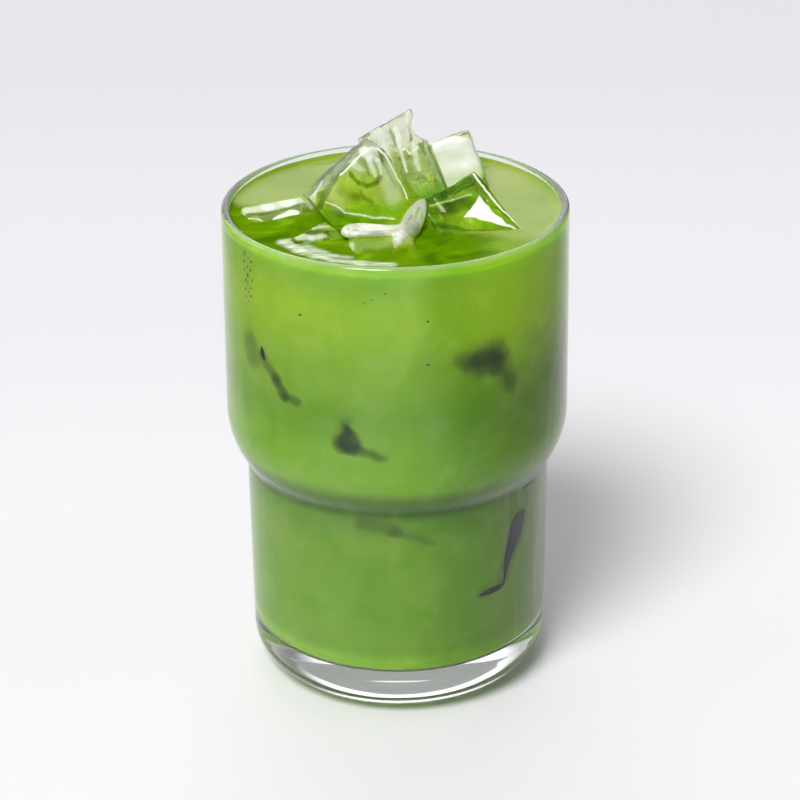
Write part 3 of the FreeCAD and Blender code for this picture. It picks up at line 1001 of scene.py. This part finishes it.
def shard(name, rows, mat, out=0.30, depth=1.5):
    """A sliver of ice pressed against the wall: rows are azimuth (degrees), height and half width."""
    pts = curve_through(rows, 6)
    bm = bmesh.new()
    rings = []
    n = len(pts)
    for i, (az, z, w) in enumerate(pts):
        a, b = pts[max(i - 1, 0)], pts[min(i + 1, n - 1)]
        rad = wall_radius(z)
        du = math.radians(b[0] - a[0]) * rad
        dz = b[1] - a[1]
        ln = math.hypot(du, dz) or 1.0
        px, pz = -dz / ln, du / ln
        w = max(w, 0.05)
        ring = []
        for k in range(24):
            f = 2 * math.pi * k / 24
            s = w * math.cos(f)
            h = (out if math.sin(f) > 0 else depth) * math.sin(f)
            zz = z + pz * s
            r = wall_radius(zz) + h
            aa = math.radians(az) + px * s / rad
            ring.append(bm.verts.new((r * math.cos(aa) * MM, r * math.sin(aa) * MM, zz * MM)))
        rings.append(ring)
    for a, b in zip(rings[:-1], rings[1:]):
        for k in range(24):
            bm.faces.new((a[k], a[(k + 1) % 24], b[(k + 1) % 24], b[k]))
    bm.faces.new(rings[0][::-1])
    bm.faces.new(rings[-1])
    bmesh.ops.recalc_face_normals(bm, faces=bm.faces[:])
    obj = mesh_object(name, bm)
    obj.data.materials.append(mat)
    return obj


extras = []      # (object, slot)
# painted shade: near-black slivers against the wall where ice under the drink darkens it
extras.append((shard("sunken_blade", [(-31.2, 47.6, 0.4), (-33.9, 46.9, 2.2), (-36.2, 45.4, 3.0), (-37.4, 43.5, 2.9),
                                      (-39.4, 41.0, 2.3), (-41.6, 38.0, 1.6), (-43.0, 35.4, 0.9), (-43.6, 33.1, 0.5),
                                      (-43.9, 31.8, 0.4)], M_DARK), "clear_ice"))
extras.append((shard("sunken_hook", [(-43.6, 32.5, 0.3), (-44.3, 31.3, 0.6), (-46.4, 30.6, 0.9), (-50.8, 30.4, 0.95),
                                     (-54.3, 30.3, 0.6), (-56.7, 30.2, 0.15)], M_DARK), "clear_ice"))
extras.append((shard("sunken_spot", [(-140.9, 94.3, 0.2), (-140.7, 93.4, 0.6), (-140.4, 92.3, 0.8), (-139.8, 91.4, 0.5),
                                     (-139.5, 90.9, 0.15)], M_DARK), "clear_ice"))
extras.append((shard("sunken_mark", [(-25.9, 54.2, 0.25), (-28.6, 54.4, 0.7), (-31.1, 54.2, 0.7),
                                     (-32.6, 54.0, 0.2)], M_SOFTDARK), "clear_ice"))


def ridge_of_melt(name, paths, mat, voxel=0.24, smooth=10):
    """A smooth rounded ridge of half-melted ice: overlapping balls along paths, merged and smoothed."""
    bm = bmesh.new()
    for path in paths:
        pts = curve_through(path, 8)
        for x, y, z, r in pts:
            new = bmesh.ops.create_icosphere(bm, subdivisions=2, radius=r * MM)["verts"]
            bmesh.ops.translate(bm, verts=new, vec=Vector((x, y, z)) * MM)
    obj = mesh_object(name, bm)
    mod = obj.modifiers.new("one", "REMESH")
    mod.mode = "VOXEL"
    mod.voxel_size = voxel * MM
    m2 = obj.modifiers.new("soft", "SMOOTH")
    m2.factor = 0.5
    m2.iterations = smooth
    apply_modifiers(obj)
    obj.data.shade_smooth()
    obj.data.materials.clear()
    obj.data.materials.append(mat)
    return obj


# painted highlight: a whitish ridge of melted ice at the front, in the glint material
extras.append((ridge_of_melt("melt_ridge", [
    [(6.4, -9.6, 123.2, 1.0), (5.5, -10.8, 122.2, 1.9), (4.6, -11.8, 120.8, 2.4), (3.7, -13.6, 119.5, 2.6),
     (2.6, -16.8, 118.9, 2.6), (1.4, -20.2, 119.0, 2.2), (0.6, -23.6, 119.0, 1.5), (0.0, -25.6, 118.4, 0.9)],
    [(2.0, -16.8, 119.0, 1.9), (-1.4, -16.4, 119.2, 1.3), (-4.8, -15.2, 119.2, 1.15), (-8.0, -14.6, 119.2, 1.15),
     (-10.8, -15.6, 119.3, 1.1), (-11.6, -18.0, 119.4, 1.05), (-10.2, -20.4, 119.8, 1.0), (-6.6, -21.0, 120.0, 0.9),
     (-2.8, -20.8, 120.0, 0.95), (0.6, -20.2, 119.8, 1.2)],
    [(-10.0, -17.0, 118.8, 1.3), (-5.0, -17.2, 118.8, 1.4), (0.5, -17.8, 118.8, 1.6)],
    [(-9.6, -18.8, 119.0, 1.2), (-5.0, -19.2, 119.1, 1.3), (0.5, -19.2, 119.0, 1.5)],
], M_RIDGE_GLINT), "clear_ice"))


def small_balls(name, rows, mat, squash=1.0, sub=2):
    """Small rounded bubbles: rows are centre (mm), radius, and stretch along z."""
    bm = bmesh.new()
    for (x, y, z), r, st in rows:
        new = bmesh.ops.create_icosphere(bm, subdivisions=sub, radius=1.0)["verts"]
        for v in new:
            v.co = Vector((x + v.co.x * r, y + v.co.y * r, z + v.co.z * r * st)) * MM
    obj = mesh_object(name, bm)
    obj.data.materials.append(mat)
    return obj


M_BUBBLE = sunken_material("wall_bubble_look", (0.115, 0.200, 0.030), (0.070, 0.130, 0.018))
rng = random.Random(5)
rows = []
for i in range(17):                         # a slanting row of small bubbles on the wall, left of the front
    z = 115.6 - i * 0.72 + rng.uniform(-0.2, 0.2)
    az = math.radians(-149.4 + (i % 3) * 1.9 + rng.uniform(-0.5, 0.5))
    r = wall_radius(z) + 0.12
    rows.append(((r * math.cos(az), r * math.sin(az), z), rng.uniform(0.16, 0.27), rng.uniform(1.4, 2.3)))
for az, z, r in ((-123.2, 105.6, 0.42), (-79.7, 106.1, 0.34), (-79.8, 95.5, 0.42), (-100.5, 110.8, 0.2),
                 (-98.0, 111.6, 0.2), (-93.6, 113.2, 0.22), (-88.0, 100.4, 0.16), (-112.0, 99.0, 0.16),
                 (-68.0, 109.0, 0.18), (-118.0, 90.0, 0.14), (-74.0, 84.0, 0.16), (-95.0, 87.0, 0.14),
                 (-62.0, 43.0, 0.18), (-86.0, 49.8, 0.2), (-117.0, 66.0, 0.14), (-104.0, 38.0, 0.14)):
    a = math.radians(az)
    q = wall_radius(z) + 0.10
    rows.append(((q * math.cos(a), q * math.sin(a), z), r, rng.uniform(0.5, 0.9)))
for i in range(60):                         # the rest of the wall has a few as well
    az = rng.uniform(-180.0, 180.0)
    z = rng.choice((rng.uniform(20.0, 52.0), rng.uniform(72.0, 116.0), rng.uniform(100.0, 116.0)))
    a = math.radians(az)
    q = wall_radius(z) + 0.10
    rows.append(((q * math.cos(a), q * math.sin(a), z), rng.uniform(0.09, 0.17), rng.uniform(0.8, 1.3)))
extras.append((small_balls("wall_bubbles", rows, M_BUBBLE), "matcha_drink"))

# ------------------------------------------------------------- riding and replacing
for name, o in ice_objects.items():
    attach(o, "root")
    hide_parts(name)
for o, slot in extras:
    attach(o, "root")
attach(drink, "root")
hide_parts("drink")

# ------------------------------------------------------------- floor, light, camera
bm = bmesh.new()
bmesh.ops.create_grid(bm, x_segments=24, y_segments=24, size=4.0)
floor = mesh_object("floor", bm)
fm = bpy.data.materials.new("pale_floor")
nt, out = nodes_of(fm)
t = sm(nt)
b = t.new("ShaderNodeBsdfPrincipled")
t.link(b.outputs[0], out.inputs[0])
p = co_mm(t)
# painted shade: the floor's colour darker towards the back
fy = t.math("MULTIPLY_ADD", split(t, p)[1], 0.001, 0.2)
pale = t.ramp(fy, [(0.13, (0.835, 0.833, 0.846)), (0.26, (0.810, 0.806, 0.824)), (0.44, (0.745, 0.742, 0.768)),
                   (0.70, (0.672, 0.671, 0.706))], "EASE")
px, py, pz = split(t, p)
# painted shade: a little beyond what is seen the floor's colour turns dark, standing in for a darker room past the
# sheet
ex = t.math("DIVIDE", t.math("ABSOLUTE", px), t.math("MAXIMUM", t.math("MULTIPLY_ADD", py, 0.15, 108.0), 60.0))
far = t.math("MAXIMUM", ex, t.math("MULTIPLY", py, 1.0 / 620.0))
pale = t.mix(t.smooth(far, 1.02, 1.90, 0.0, 0.72), pale, (0.20, 0.20, 0.21))
t.link(pale, b.inputs["Base Color"])
b.inputs["Roughness"].default_value = 0.7
floor.data.materials.append(fm)

world = bpy.data.worlds.new("studio")
scene.world = world
world.use_nodes = True
nt = world.node_tree
nt.nodes.clear()
t = sm(nt)
out = t.new("ShaderNodeOutputWorld")
bg = t.new("ShaderNodeBackground")
t.link(bg.outputs[0], out.inputs[0])
d = t.new("ShaderNodeTexCoord").outputs["Generated"]


def lobe(direction, lo, hi, strength):
    v = Vector(direction).normalized()
    dot = t.vmath("DOT_PRODUCT", d, tuple(v))
    n = t.new("ShaderNodeMapRange", interpolation_type="SMOOTHSTEP")
    t.link(dot, n.inputs[0])
    n.inputs[1].default_value = lo
    n.inputs[2].default_value = hi
    n.inputs[3].default_value = 0.0
    n.inputs[4].default_value = strength
    return n.outputs[0]


up = split(t, d)[2]
fill = t.smooth(up, 0.15, 0.85, 0.0, 0.16)
total = t.math("ADD", lobe((-0.253, -0.548, 0.797), 0.962, 0.992, 20.2), lobe((-0.10, 0.90, 0.42), 0.78, 0.95, 1.20))
total = t.math("ADD", total, lobe((0.85, 0.15, 0.50), 0.80, 0.96, 0.25))
total = t.math("ADD", total, lobe((-0.90, 0.20, 0.32), 0.76, 0.95, 0.45))
total = t.math("ADD", total, t.math("ADD", fill, 0.118))
t.link(total, bg.inputs["Strength"])
bg.inputs["Color"].default_value = (1.0, 0.99, 1.0, 1)

cam_data = bpy.data.cameras.new("camera")
cam = link(bpy.data.objects.new("camera", cam_data))
cam_data.sensor_width = 36.0
cam_data.lens = 2870.1 * 36.0 / 800.0
cam_data.clip_start = 0.01
fw = Vector((0.00100045, 0.9051522, -0.42508646))
right = Vector((0.9999567, -0.00483819, -0.00794873))
down = Vector((-0.00925147, -0.4250601, -0.90511785))
rot = Matrix((right, -down, -fw)).transposed()
cam.matrix_world = Matrix.Translation(Vector((0.0, -0.6303621, 0.3643742))) @ rot.to_4x4()
scene.camera = cam
